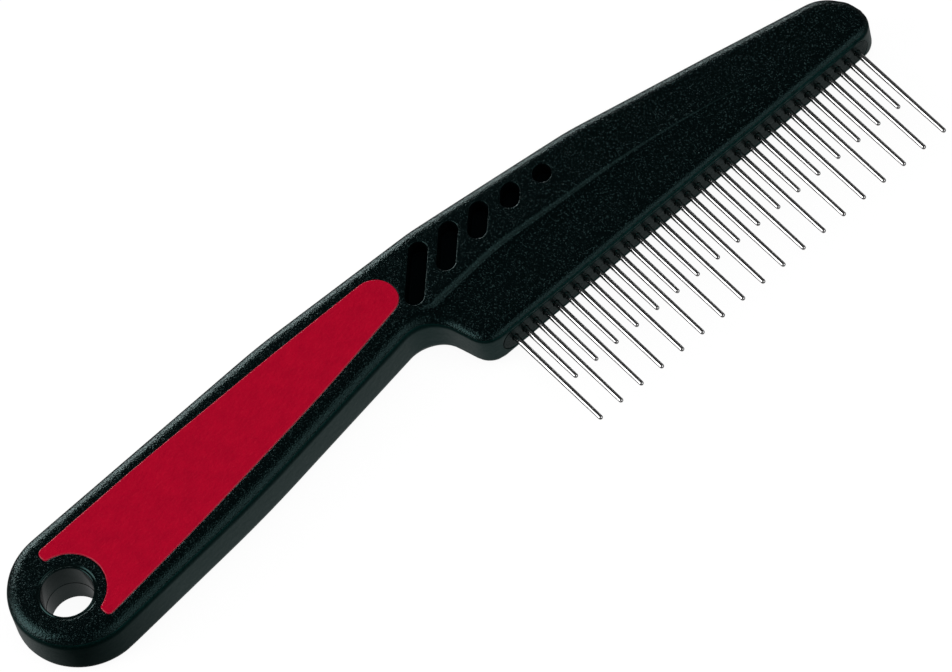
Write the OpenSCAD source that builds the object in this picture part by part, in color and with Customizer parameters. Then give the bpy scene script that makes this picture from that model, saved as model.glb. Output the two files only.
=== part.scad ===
// Dematting comb: a one-piece moulded handle and head, a press-fitted tooth strip,
// two soft grip inlays, and a row of steel pins that each turn freely in the strip.
// Origin on the axis of the hang hole, half-way through the thickness.
// +X runs from the hang hole to the head's tip, the pins point along -Y,
// and the front face looks along +Z. Front and back are mirror images.

/* [Body] */
// Half of the handle's thickness
body_half = 6.3; // [5.5:0.1:7.5]
// Half of the tooth panel's thickness
panel_half = 5; // [4.6:0.1:5.3]
// Radius of the rounded edge between the faces and the side wall
edge_r = 3; // [2:0.1:3]
// Radius of the rounded edge along the teeth
tooth_edge_r = 1.8; // [1.2:0.1:1.9]
// Width of the slope from the spine's ridge down to the tooth panel
ridge_w = 2.4; // [1:0.1:3]
// Radius of the handle's round end
end_r = 14.5; // [13.5:0.5:14.5]
// Distance from the hang hole's axis down to the toothed edge
tooth_edge_drop = 17; // [16.5:0.5:18]

/* [Hang hole] */
// Radius of the hang hole
hole_r = 5.45; // [4:0.05:5.6]
// Width of the hole's rounded mouths
hole_lip_w = 0.9; // [0.5:0.1:1]
// Depth of the hole's rounded mouths
hole_lip_d = 0.45; // [0.3:0.05:0.9]

/* [Slots] */
// Width of each slot in the spine
slot_w = 4; // [3:0.1:4.2]
// Depth of each slot from either face
slot_depth = 4.3; // [2:0.1:5]
// Slant of the slots from the X axis
slot_angle = 45.5; // [40:0.5:50]
// Distance between neighbouring slots along X
slot_pitch = 7.5; // [6.5:0.1:8]

/* [Grips] */
// Depth of the pocket that each grip inlay fills
grip_depth = 1.6; // [1:0.1:2.5]
// Radius of the cut-out that the inlay leaves around the hang hole
grip_collar_r = 8.1; // [7.5:0.1:8.5]

/* [Teeth] */
// Number of pins in the row
pin_count = 35; // [35:1:35]
// Distance between neighbouring pins
pin_pitch = 2.75; // [2.6:0.05:2.75]
// Distance from the hang hole's axis to the first pin
first_pin_x = 103.7; // [103:0.1:105]
// Length of a long pin outside the strip
long_pin = 26.8; // [20:0.1:32]
// Length of a short pin outside the strip
short_pin = 16; // [12:0.1:19]
// Diameter of a pin at its root
pin_root_d = 1.3; // [1:0.05:1.5]
// Diameter of a pin at its tip
pin_tip_d = 1; // [0.8:0.05:1.2]
// Diameter of a pin's head inside the strip
pin_head_d = 2.1; // [1.9:0.05:2.3]
// Thickness of a pin's head
pin_head_t = 1.2; // [0.8:0.1:1.6]
// Radial gap around the pins' shafts and heads
pin_gap = 0.05; // [0.03:0.01:0.08]
// Depth of the countersink at the mouth of each pin's hole
countersink = 0.25; // [0.1:0.05:0.4]

/* [Tooth strip] */
// Height of the strip, across the comb's thickness
strip_h = 6.1; // [5.5:0.1:6.3]
// Depth of the strip, along the pins
strip_d = 8; // [6:0.5:10]
// Gap between the strip and its groove
strip_gap = 0.05; // [0.02:0.01:0.08]

/* [Hidden] */
first_pin_node = 4;

body_colour = [0.09, 0.1, 0.1];
strip_colour = [0.13, 0.14, 0.14];
grip_colour = [0.62, 0.02, 0.15];
pin_colour = [0.8, 0.8, 0.82];

tooth_y = -tooth_edge_drop;
last_pin_x = first_pin_x + (pin_count - 1) * pin_pitch;

// How far a cut runs past the face that it opens.
eps = 0.5;

// Fineness of the round shapes: the hang hole's circles, the pins, and half a round end.
ring_fn = 96;
pin_fn = 32;
lip_steps = 6;
bar_steps = 12;

// Corners of the outline, anticlockwise from the handle's lower left: x, y, rounding.
handle_left = -11.6;
outline_corners = [
    [handle_left, -14.6, end_r],
    [41.7, -10.2, 300],
    [93, -2.6, 7.5],
    [97, tooth_y, 5],
    [204.1, tooth_y, 4.5],
    [202.1, -3.7, 9],
    [173.7, 3, 150],
    [141.7, 10, 60],
    [102.7, 14.9, 30],
    [64, 16.8, 150],
    [handle_left, 15, end_r]
];

// Crest of the ridge between the spine and the lower tooth panel: x, y, rounding.
ridge_corners = [
    [-20, -21.1, 0],
    [94, -2.6, 40],
    [114, -1.4, 60],
    [150, -4.9, 250],
    [176, -10.4, 200],
    [206, -19.8, 0]
];

// The grip inlay's outline, from its lower horn round to its upper one, and the centre of
// the cut-out that its horns reach round. The last two are where the horns meet the cut-out.
grip_corners = [
    [2.5, -10.3, 1.3],
    [30, -7.2, 600],
    [66, -2.25, 400],
    [92.1, 2.66, 4.2],
    [92.1, 11.6, 5],
    [62, 12.2, 500],
    [28, 12.2, 500],
    [1.05, 11.35, 1.3]
];
grip_collar_at = [0.3, 0.45];
horn_high = [1.05, 0.9];
horn_low = [2.5, 0.8];

// Upper end of the first slot, the drop of each next one, and the slots' lengths.
slot_top = [101.2, 9.3];
slot_drop = [0, 0.8, 1.6, 2.8, 4.1];
slot_run = [10.8, 7.5, 4.8, 2.1, 0.4];

// The thickness eases from the handle's to the tip's between these two places.
ease_from = 98;
ease_to = 190;

function unit(v) = v / norm(v);
function turn(a, b) = atan2(a[0] * b[1] - a[1] * b[0], a * b);

// One corner of an outline as an arc that is tangent to both of its sides.
function corner_arc(before, corner, after, r, steps) =
    let (
        here = [corner[0], corner[1]],
        din = unit(here - [before[0], before[1]]),
        dout = unit([after[0], after[1]] - here),
        bend = turn(din, dout),
        side = sign(bend),
        start = here - din * r * tan(abs(bend) / 2),
        centre = start + side * r * [-din[1], din[0]],
        first = atan2(start[1] - centre[1], start[0] - centre[0])
    )
    r == 0 || abs(bend) < 0.01
        ? [here]
        : [for (i = [0 : steps])
            centre + r * [cos(first + bend * i / steps), sin(first + bend * i / steps)]];

// The rounded corners numbered from first to last, as one line of points.
function rounded_run(corners, first, last, steps) =
    let (n = len(corners))
    [for (i = [first : last])
        each corner_arc(
            corners[(i + n - 1) % n], corners[i], corners[(i + 1) % n], corners[i][2], steps)];

// A closed outline with every corner rounded.
function rounded(corners, steps) = rounded_run(corners, 0, len(corners) - 1, steps);

// The body's outline split into a lower and an upper line, both tables of y against x.
outline = rounded(outline_corners, 24);
outline_x = [for (p = outline) p[0]];
x_min = min(outline_x);
x_max = max(outline_x);
right_end = [for (i = [0 : len(outline) - 1]) if (outline[i][0] == x_max) i][0];
left_end = [for (i = [0 : len(outline) - 1]) if (outline[i][0] == x_min) i][0];
lower_line = left_end < right_end
    ? [for (i = [left_end : right_end]) outline[i]]
    : [for (i = [left_end : len(outline) - 1 + right_end]) outline[i % len(outline)]];
upper_line = left_end < right_end
    ? [for (i = [right_end : len(outline) + left_end]) outline[i % len(outline)]]
    : [for (i = [right_end : left_end]) outline[i]];

// The ridge's crest as a table of y against x.
ridge_line = concat(
    [[ridge_corners[0][0], ridge_corners[0][1]]],
    rounded_run(ridge_corners, 1, len(ridge_corners) - 2, 12),
    [[ridge_corners[len(ridge_corners) - 1][0], ridge_corners[len(ridge_corners) - 1][1]]]
);

function ease(t) = (1 - cos(180 * max(0, min(1, t)))) / 2;

// How far the place x along the lower wall belongs to the tooth panel, from 0 to 1:
// all of it where the ridge is panel_reach above the wall.
panel_reach = 5;
function panel_share(x) = ease((lookup(x, ridge_line) - lookup(x, lower_line)) / panel_reach);

// Half of the thickness along the spine, and along the lower wall.
function spine_half(x) =
    body_half + (panel_half - body_half) * ease((x - ease_from) / (ease_to - ease_from));
function low_half(x) = spine_half(x) + (panel_half - spine_half(x)) * panel_share(x);

// Places along X at which the body has a section: close together at the waist and both ends.
end_steps = 14;
handle_step = 7;
waist_from = 84;
waist_to = 99;
waist_step = 0.9;
head_step = 5;
tip_reach = 12;
stations = concat(
    [for (i = [0 : end_steps]) x_min + end_r * (1 - cos(90 * i / end_steps))],
    [for (x = [x_min + end_r + handle_step : handle_step : waist_from - 2]) x],
    [for (x = [waist_from : waist_step : waist_to]) x],
    [for (x = [waist_to + 3 : head_step : x_max - tip_reach - 2]) x],
    [for (i = [0 : end_steps]) x_max - tip_reach * (1 - sin(90 * i / end_steps))]
);
station_n = len(stations);
loop_n = 2 * station_n - 2;
wall_loop = concat(
    [for (x = stations) [x, lookup(x, lower_line)]],
    [for (i = [station_n - 2 : -1 : 1]) [stations[i], lookup(stations[i], upper_line)]]
);

// The direction into the body at each place of the wall line.
wall_inward = [for (j = [0 : loop_n - 1])
    let (along = unit(wall_loop[(j + 1) % loop_n] - wall_loop[(j + loop_n - 1) % loop_n]))
    [-along[1], along[0]]];

// Share of the tooth panel's edge in the wall at loop place j: all of it along the teeth,
// fading out over the last tip_fade of the spine.
tip_fade = 1.6;
tooth_end_x = last_pin_x - 10;
function wall_share(j) =
    j < station_n
        ? panel_share(min(wall_loop[j][0], tooth_end_x))
        : ease((wall_loop[j][0] - x_max) / tip_fade + 1);
wall_r = [for (j = [0 : loop_n - 1]) edge_r + (tooth_edge_r - edge_r) * wall_share(j)];
wall_half = [for (j = [0 : loop_n - 1])
    j < station_n ? low_half(wall_loop[j][0]) : spine_half(wall_loop[j][0])];

// Rings of points round the wall: up the back edge's rounding, then up the front edge's.
edge_steps = 5;
ring_n = 2 * (edge_steps + 1);
function ring_angle(k) = 90 * (k <= edge_steps ? edge_steps - k : k - edge_steps - 1) / edge_steps;
function ring_side(k) = k <= edge_steps ? -1 : 1;
function ring_point(j, k) =
    let (
        p = wall_loop[j] + wall_inward[j] * wall_r[j] * (1 - cos(ring_angle(k))),
        z = wall_half[j] - wall_r[j] * (1 - sin(ring_angle(k)))
    )
    [p[0], p[1], ring_side(k) * z];
ring_points = [for (k = [0 : ring_n - 1]) for (j = [0 : loop_n - 1]) ring_point(j, k)];
function at(j, k) = k * loop_n + (j % loop_n);
function upper(i) = i == 0 ? 0 : loop_n - i;

// Across the face at station i, the slope of the ridge has slope_n points, foot to crest.
// Where the ridge has run out, they keep to a narrow band along the lower wall.
slope_n = 5;
band = 4;
crest_share = 0.25;
foot_share = 0.05;
function slope_points(i, side) =
    let (
        low = ring_points[at(i, ring_n - 1)],
        high = ring_points[at(upper(i), ring_n - 1)],
        x = stations[i],
        room = min(band, high[1] - low[1]),
        crest = max(lookup(x, ridge_line), low[1] + crest_share * room),
        foot = max(crest - ridge_w, low[1] + foot_share * room)
    )
    [for (q = [0 : slope_n - 1])
        let (t = q / (slope_n - 1))
        [
            x,
            foot + (crest - foot) * t,
            side * (low_half(x) + (spine_half(x) - low_half(x)) * ease(t))
        ]];
shell_points = concat(
    ring_points,
    [for (side = [-1, 1]) for (i = [1 : station_n - 2]) each slope_points(i, side)]
);

// The points across one face at station i, from the lower wall to the upper one.
function across(i, front) =
    let (
        k = front ? ring_n - 1 : 0,
        base = loop_n * ring_n + (front ? (station_n - 2) * slope_n : 0)
    )
    i == 0 || i == station_n - 1
        ? [for (q = [0 : slope_n + 1]) at(i, k)]
        : concat(
            [at(i, k)],
            [for (q = [0 : slope_n - 1]) base + (i - 1) * slope_n + q],
            [at(upper(i), k)]);

// Two triangles of a four-sided patch, without those that have no area.
function patch(a, b, c, d) = concat(
    a == b || b == c ? [] : [[a, b, c]],
    a == d || c == d ? [] : [[a, c, d]]
);
wall_faces = [for (k = [0 : ring_n - 2]) for (j = [0 : loop_n - 1])
    each patch(at(j, k), at(j, k + 1), at(j + 1, k + 1), at(j + 1, k))];
function face(front) = [for (i = [0 : station_n - 2])
    let (here = across(i, front), next = across(i + 1, front))
    for (q = [0 : slope_n])
        each front
            ? patch(here[q], here[q + 1], next[q + 1], next[q])
            : patch(next[q], next[q + 1], here[q + 1], here[q])];

// The full body before anything is cut out of it.
module shell() {
    polyhedron(
        points = shell_points,
        faces = concat(face(false), wall_faces, face(true)),
        convexity = 6);
}

// Copies its children and mirrors them to the back of the comb.
module both_faces() {
    children();
    mirror([0, 0, 1]) children();
}

// Hang hole with rounded mouths, as one turned shape.
module hang_hole() {
    mouth = [for (i = [0 : lip_steps])
        let (a = 90 * i / lip_steps)
        [hole_r + hole_lip_w * (1 - cos(a)), body_half - hole_lip_d * (1 - sin(a))]];
    half = concat([[hole_r, 0]], mouth, [[hole_r + hole_lip_w, body_half + eps]]);
    below = [for (i = [len(half) - 1 : -1 : 1]) [half[i][0], -half[i][1]]];
    rotate_extrude($fn = ring_fn)
        polygon(concat([[0, -body_half - eps]], below, half, [[0, body_half + eps]]));
}

// A bar of full round ends from the origin along X.
function bar_outline(run, width) =
    let (
        r = width / 2,
        bow = [for (i = [0 : bar_steps]) let (a = 180 * i / bar_steps) [r * sin(a), -r * cos(a)]]
    )
    concat([for (p = bow) [run + p[0], p[1]]], [for (p = bow) -p]);

module slots() {
    for (i = [0 : len(slot_run) - 1])
        let (x = slot_top[0] + i * slot_pitch)
            translate([x, slot_top[1] - slot_drop[i], spine_half(x) - slot_depth])
                rotate([0, 0, 180 + slot_angle])
                    linear_extrude(slot_depth + eps)
                        polygon(bar_outline(slot_run[i], slot_w));
}

// The cut-out's arc from the upper horn down to the lower one. Next to either horn one
// point is left out, so that the horn's rounding has room.
collar_steps = 30;
function collar_line() =
    let (
        high = acos((horn_high[0] - grip_collar_at[0]) / grip_collar_r),
        low = -acos((horn_low[0] - grip_collar_at[0]) / grip_collar_r)
    )
    [for (i = [0 : collar_steps])
        if (i != 1 && i != collar_steps - 1)
            let (a = high + (low - high) * i / collar_steps)
            [
                grip_collar_at[0] + grip_collar_r * cos(a),
                grip_collar_at[1] + grip_collar_r * sin(a),
                i == 0 ? horn_high[1] : i == collar_steps ? horn_low[1] : 0
            ]];

// Outline of a grip inlay, with its cut-out around the hang hole.
module grip_outline() {
    polygon(rounded(concat(grip_corners, collar_line()), 12));
}

module grip_pocket() {
    translate([0, 0, body_half - grip_depth])
        linear_extrude(grip_depth + eps)
            grip_outline();
}

// A bar of full round ends along the tooth row, from one y up to another.
module tooth_bar(height, y_low, y_high) {
    translate([first_pin_x, y_high, 0])
        rotate([90, 0, 0])
            linear_extrude(y_high - y_low)
                polygon(bar_outline(last_pin_x - first_pin_x, height));
}

module comb_body() {
    color(body_colour)
        difference() {
            shell();
            hang_hole();
            both_faces() {
                slots();
                grip_pocket();
            }
            tooth_bar(strip_h + 2 * strip_gap, tooth_y - eps, tooth_y + strip_d + strip_gap);
        }
}

// Clearance holes for one pin: the shaft's, its small countersink and the head's.
module pin_hole() {
    shaft_r = pin_root_d / 2 + pin_gap;
    head_r = pin_head_d / 2 + pin_gap;
    translate([0, 0, -eps])
        cylinder(h = strip_d + 2 * eps, r = shaft_r, $fn = pin_fn);
    translate([0, 0, -eps])
        cylinder(h = pin_head_t + 2 * pin_gap + eps, r = head_r, $fn = pin_fn);
    translate([0, 0, strip_d - countersink])
        cylinder(h = countersink, r1 = shaft_r, r2 = shaft_r + countersink, $fn = pin_fn);
}

// The strip, cut flush with the body's wall where that turns up at the tip.
module tooth_strip() {
    color(strip_colour)
        difference() {
            intersection() {
                tooth_bar(strip_h, tooth_y, tooth_y + strip_d);
                translate([0, 0, -strip_h])
                    linear_extrude(2 * strip_h)
                        polygon(wall_loop);
            }
            for (i = [0 : pin_count - 1])
                translate([first_pin_x + i * pin_pitch, tooth_y + strip_d, 0])
                    rotate([90, 0, 0])
                        pin_hole();
        }
}

// One inlay, filling the pocket of the face it lies in.
module grip_pad() {
    translate([0, 0, body_half - grip_depth])
        linear_extrude(grip_depth)
            grip_outline();
}

module front_grip() {
    color(grip_colour)
        grip_pad();
}

module rear_grip() {
    color(grip_colour)
        mirror([0, 0, 1])
            grip_pad();
}

// One pin, headed at the inner end and rounded at the tip. The first is a long one.
module pin(number) {
    free = number % 2 == 1 ? long_pin : short_pin;
    tip_r = pin_tip_d / 2;
    color(pin_colour)
        translate([first_pin_x + (number - 1) * pin_pitch, tooth_y + strip_d - pin_gap, 0])
            rotate([90, 0, 0]) {
                cylinder(h = pin_head_t, d = pin_head_d, $fn = pin_fn);
                cylinder(h = strip_d, d = pin_root_d, $fn = pin_fn);
                translate([0, 0, strip_d])
                    cylinder(h = free - tip_r, r1 = pin_root_d / 2, r2 = tip_r, $fn = pin_fn);
                translate([0, 0, strip_d + free - tip_r])
                    sphere(r = tip_r, $fn = pin_fn);
            }
}

comb_body();
tooth_strip();
front_grip();
rear_grip();
for (i = [1 : pin_count])
    pin(i);
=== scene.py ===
"""Looks of a dematting comb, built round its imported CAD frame.

The origin lies on the hang hole's axis, half-way through the thickness. +X runs to the head's
tip, the pins point along -Y and the front face looks along +Z. Blender's lengths are metres;
the sizes below are written in millimetres and scaled by MM.
"""

import logging
import math
from bisect import bisect_right
from collections.abc import Callable, Sequence
from dataclasses import dataclass
from enum import Enum

import bmesh
import bpy
from bmesh.types import BMesh, BMFace, BMVert
from bpy.types import Material, Node, NodeSocket, Object
from mathutils import Matrix, Quaternion, Vector


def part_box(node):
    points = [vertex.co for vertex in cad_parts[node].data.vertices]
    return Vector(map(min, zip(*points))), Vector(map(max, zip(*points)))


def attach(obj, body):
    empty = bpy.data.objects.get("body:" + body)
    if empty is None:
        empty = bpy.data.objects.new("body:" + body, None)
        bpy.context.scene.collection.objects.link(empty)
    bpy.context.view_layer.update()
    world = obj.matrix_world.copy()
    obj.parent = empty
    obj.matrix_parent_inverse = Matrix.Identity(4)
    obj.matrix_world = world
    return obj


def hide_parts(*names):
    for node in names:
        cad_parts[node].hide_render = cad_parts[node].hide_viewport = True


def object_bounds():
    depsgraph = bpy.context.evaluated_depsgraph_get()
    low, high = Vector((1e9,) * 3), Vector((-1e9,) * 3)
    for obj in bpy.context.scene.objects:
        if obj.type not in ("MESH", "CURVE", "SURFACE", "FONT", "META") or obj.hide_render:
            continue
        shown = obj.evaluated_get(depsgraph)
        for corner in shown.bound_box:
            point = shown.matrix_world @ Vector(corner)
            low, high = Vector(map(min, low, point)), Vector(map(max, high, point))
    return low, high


MM = 0.001
LOG = logging.getLogger("comb")

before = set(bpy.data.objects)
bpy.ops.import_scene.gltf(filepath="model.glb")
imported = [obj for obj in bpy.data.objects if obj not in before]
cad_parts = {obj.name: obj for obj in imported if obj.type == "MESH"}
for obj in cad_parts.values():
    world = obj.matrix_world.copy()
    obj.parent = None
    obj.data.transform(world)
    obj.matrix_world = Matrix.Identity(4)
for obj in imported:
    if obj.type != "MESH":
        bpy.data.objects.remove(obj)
CAD_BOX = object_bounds()

PINS = sorted(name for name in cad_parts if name.startswith("pin_"))
TO_METRES = Matrix.Scale(MM, 4)
SHARP_ANGLE = 40.0  # edges steeper than this many degrees stay sharp
STRAIGHT = 1e-4  # a bend smaller than this many radians isn't rounded
WELD = 1e-5  # points of a lathe closer than this many millimetres are one
SEAM = 1e-6  # vertices of a mirrored mesh closer than this many metres are one


class Slot(Enum):
    """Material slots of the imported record."""

    BODY = "body_plastic"
    STRIP = "strip_plastic"
    GRIP = "grip_rubber"
    PIN = "pin_steel"


class Face(Enum):
    """Material numbers of the comb's body, in the order of its material list."""

    GRAINED = 0
    SATIN = 1
    RECESS = 2
    BORE = 3


class Side(Enum):
    """The two faces of the comb, as the sign of Z."""

    FRONT = 1
    REAR = -1

    @property
    def space(self) -> Matrix:
        """Take millimetres to the comb's metres, with heights that grow out of this face."""
        return TO_METRES @ Matrix.Diagonal((1, 1, self.value, 1))


def ease(share: float) -> float:
    """Turn a share into a smooth step from 0 to 1.

    Args:
        share: A number that counts as 0 below 0 and as 1 above 1.

    Returns:
        The eased share.
    """
    return (1 - math.cos(math.pi * max(0.0, min(1.0, share)))) / 2


# ---------------------------------------------------------------------------
# Outlines
# ---------------------------------------------------------------------------


@dataclass(frozen=True)
class Corner:
    """A corner of an outline: its place and the radius of its rounding, in millimetres."""

    x: float
    y: float
    radius: float = 0.0

    @property
    def place(self) -> Vector:
        """The corner as a vector in millimetres."""
        return Vector((self.x, self.y))


def arc(before: Corner, corner: Corner, after: Corner, steps: int) -> list[Vector]:
    """Round one corner with an arc that is tangent to both of its sides.

    Args:
        before: The corner ahead of it.
        corner: The corner to round.
        after: The corner that follows it.
        steps: How many chords the arc has.

    Returns:
        The arc's points in millimetres, or the corner itself where it has no radius.
    """
    come = (corner.place - before.place).normalized()
    leave = (after.place - corner.place).normalized()
    bend = math.atan2(come.cross(leave), come.dot(leave))
    if corner.radius == 0 or abs(bend) < STRAIGHT:
        return [corner.place]
    start = corner.place - come * corner.radius * math.tan(abs(bend) / 2)
    centre = start + math.copysign(corner.radius, bend) * Vector((-come.y, come.x))
    spoke = start - centre
    points = []
    for step in range(steps + 1):
        turn = Matrix.Rotation(bend * step / steps, 2)
        points.append(centre + turn @ spoke)
    return points


def rounded(corners: Sequence[Corner], steps: int) -> list[Vector]:
    """Round every corner of a closed outline.

    Args:
        corners: The outline's corners, anticlockwise.
        steps: How many chords each arc has.

    Returns:
        The outline's points in millimetres.
    """
    count = len(corners)
    points = []
    for i, corner in enumerate(corners):
        points += arc(corners[i - 1], corner, corners[(i + 1) % count], steps)
    return points


class Line:
    """A line of points that runs along X, read as y against x."""

    def __init__(self, points: Sequence[Vector]) -> None:
        """Keep the points in order of x.

        Args:
            points: The points in millimetres.
        """
        self.points = sorted(points, key=lambda point: point.x)
        self.places = [point.x for point in self.points]

    def at(self, x: float) -> float:
        """Read the line at x, held level past its ends.

        Args:
            x: The place along X in millimetres.

        Returns:
            The line's y there in millimetres.
        """
        i = bisect_right(self.places, x)
        if i == 0:
            return self.points[0].y
        if i == len(self.points):
            return self.points[-1].y
        a, b = self.points[i - 1], self.points[i]
        return a.y + (b.y - a.y) * (x - a.x) / max(b.x - a.x, 1e-9)


def inward(loop: Sequence[Vector]) -> list[Vector]:
    """Find the direction into an anticlockwise outline at each of its points.

    Args:
        loop: The outline's points.

    Returns:
        A unit vector for each point.
    """
    count = len(loop)
    directions = []
    for i in range(count):
        along = (loop[(i + 1) % count] - loop[i - 1]).normalized()
        directions.append(Vector((-along.y, along.x)))
    return directions


# ---------------------------------------------------------------------------
# Mesh helpers
# ---------------------------------------------------------------------------


def finish_mesh(name: str, bm: BMesh, sharp_angle: float = SHARP_ANGLE) -> Object:
    """Turn a bmesh into a smoothly shaded object at the origin.

    Args:
        name: The object's name.
        bm: The mesh, which is freed.
        sharp_angle: Edges steeper than this many degrees stay sharp.

    Returns:
        The new object, linked to the scene.
    """
    mesh = bpy.data.meshes.new(name)
    bm.to_mesh(mesh)
    bm.free()
    mesh.shade_smooth()
    mesh.set_sharp_from_angle(angle=math.radians(sharp_angle))
    piece = bpy.data.objects.new(name, mesh)
    bpy.context.scene.collection.objects.link(piece)
    return piece


def finish_solid(name: str, bm: BMesh, sharp_angle: float = SHARP_ANGLE) -> Object:
    """Turn the faces of a closed bmesh outwards and make it an object as finish_mesh does."""
    bmesh.ops.recalc_face_normals(bm, faces=bm.faces)
    return finish_mesh(name, bm, sharp_angle)


def bake(piece: Object) -> None:
    """Replace a piece's mesh by what its modifiers make of it.

    Args:
        piece: The object, which is left with no modifiers.
    """
    graph = bpy.context.evaluated_depsgraph_get()
    made = bpy.data.meshes.new_from_object(piece.evaluated_get(graph))
    piece.modifiers.clear()
    spent = piece.data
    piece.data = made
    bpy.data.meshes.remove(spent)
    made.name = piece.name


def carve(piece: Object, tool: Object) -> None:
    """Cut one solid out of another and remove the tool.

    Args:
        piece: The solid that is cut.
        tool: The solid that is taken away.
    """
    cut = piece.modifiers.new("carve", "BOOLEAN")
    cut.operation = "DIFFERENCE"
    cut.solver = "MANIFOLD"
    cut.object = tool
    bake(piece)
    bpy.data.objects.remove(tool)


def even_shading(piece: Object) -> None:
    """Let the broad faces set the shading round fine edges.

    Args:
        piece: The object to shade.
    """
    piece.data.set_sharp_from_angle(angle=math.radians(SHARP_ANGLE))
    weighted = piece.modifiers.new("even_shading", "WEIGHTED_NORMAL")
    weighted.keep_sharp = True
    weighted.weight = 50
    bake(piece)


def extruded_ring(
    bm: BMesh,
    ring: list[BMVert],
    place: Callable[[int], Vector],
    face: Face,
) -> list[BMVert]:
    """Extrude a closed ring of vertices and move the new ring into place.

    Args:
        bm: The mesh that holds the ring.
        ring: The ring's vertices in order.
        place: Gives the new place of the ring's vertex of that number.
        face: The material of the new faces.

    Returns:
        The new ring, in the same order.
    """
    count = len(ring)
    edges = [bm.edges.get((ring[i], ring[(i + 1) % count])) for i in range(count)]
    made = bmesh.ops.extrude_edge_only(bm, edges=edges)["geom"]
    fresh = {item for item in made if isinstance(item, BMVert)}
    for item in made:
        if isinstance(item, BMFace):
            item.material_index = face.value
    grown = []
    for i, vert in enumerate(ring):
        partner = next(e.other_vert(vert) for e in vert.link_edges if e.other_vert(vert) in fresh)
        partner.co = place(i)
        grown.append(partner)
    return grown


def first_ring(bm: BMesh, places: Sequence[Vector]) -> list[BMVert]:
    """Make a closed ring of vertices and edges.

    Args:
        bm: The mesh to add it to.
        places: The vertices' places.

    Returns:
        The ring's vertices in order.
    """
    ring = [bm.verts.new(place) for place in places]
    for i, vert in enumerate(ring):
        bm.edges.new((vert, ring[(i + 1) % len(ring)]))
    return ring


@dataclass(frozen=True)
class Step:
    """One step of a loft: how far the outline is moved out, and its height, in millimetres."""

    out: float
    height: float
    face: Face = Face.GRAINED


def quarter(radius: float, height: float, steps: int, face: Face, opening: bool) -> list[Step]:
    """Make the steps of a rounded edge whose outline is moved by up to its radius.

    Args:
        radius: The rounding's radius in millimetres.
        height: The height at which the rounding ends.
        steps: How many chords the rounding has.
        face: The material of its faces.
        opening: True for a flared mouth, False for a solid's rounded rim.

    Returns:
        The steps, from the wall up to the face.
    """
    made = []
    for i in range(1, steps + 1):
        angle = math.pi / 2 * i / steps
        run = radius * (1 - math.cos(angle))
        made.append(Step(run if opening else -run, height - radius * (1 - math.sin(angle)), face))
    return made


def loft(bm: BMesh, loop: Sequence[Vector], steps: Sequence[Step], frame_at: Matrix) -> None:
    """Add the solid that an outline sweeps through a list of steps.

    Args:
        bm: The mesh to add it to.
        loop: The outline in millimetres, anticlockwise.
        steps: The steps, from the lowest to the highest.
        frame_at: Takes the loft's own space in millimetres to the comb's in metres.
    """
    inside = inward(loop)

    def place(step: Step) -> Callable[[int], Vector]:
        """Give the ring of that step."""

        def at(i: int) -> Vector:
            """Place the ring's vertex of that number."""
            flat = loop[i] - inside[i] * step.out
            return frame_at @ Vector((flat.x, flat.y, step.height))

        return at

    start = place(steps[0])
    ring = first_ring(bm, [start(i) for i in range(len(loop))])
    floor = bm.faces.new(ring)
    floor.material_index = steps[0].face.value
    for step in steps[1:]:
        ring = extruded_ring(bm, ring, place(step), step.face)
    lid = bm.faces.new(ring)
    lid.material_index = steps[-1].face.value


def lathe(
    bm: BMesh, profile: Sequence[tuple[float, float]], frame_at: Matrix, steps: int, face: Face
) -> None:
    """Add a solid of revolution.

    Args:
        bm: The mesh to add it to.
        profile: Radius and height of each point in millimetres; the ends lie on the axis.
        frame_at: Takes the lathe's own space, turning about Z, to the comb's in metres.
        steps: How many faces go round.
        face: The material of its faces.
    """
    verts = [bm.verts.new(Vector((radius, 0, height))) for radius, height in profile]
    edges = [bm.edges.new(pair) for pair in zip(verts, verts[1:])]
    bmesh.ops.spin(
        bm,
        geom=verts + edges,
        axis=(0, 0, 1),
        cent=(0, 0, 0),
        angle=2 * math.pi,
        steps=steps,
        use_merge=True,
    )
    # The solids that are already in place have tagged vertices.
    fresh = [vert for vert in bm.verts if not vert.tag]
    bmesh.ops.remove_doubles(bm, verts=fresh, dist=WELD)
    for vert in [vert for vert in bm.verts if not vert.tag]:
        vert.co = frame_at @ vert.co
        vert.tag = True
        for item in vert.link_faces:
            item.material_index = face.value


def bar(run: float, width: float, steps: int) -> list[Vector]:
    """Outline a bar with full round ends that starts at the origin and runs along X.

    Args:
        run: The distance between the two ends' centres in millimetres.
        width: The bar's width in millimetres.
        steps: How many chords each end has.

    Returns:
        The outline in millimetres, anticlockwise.
    """
    bow = []
    for i in range(steps + 1):
        angle = math.pi * i / steps
        bow.append(Vector((math.sin(angle), -math.cos(angle))) * width / 2)
    return [point + Vector((run, 0)) for point in bow] + [-point for point in bow]


def axis_x(node: str) -> float:
    """Find where a pin's axis lies along X, in millimetres."""
    low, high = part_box(node)
    return (low.x + high.x) / 2 / MM


def tooth_space(x: float, y: float) -> Matrix:
    """Set up a space in millimetres at a place on the tooth side.

    Args:
        x: The space's origin along X.
        y: The space's origin along Y.

    Returns:
        What takes the space, whose Z runs along -Y, to the comb's in metres.
    """
    return TO_METRES @ Matrix.Translation((x, y, 0)) @ Matrix.Rotation(math.pi / 2, 4, "X")


# ---------------------------------------------------------------------------
# Finishes
# ---------------------------------------------------------------------------


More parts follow.
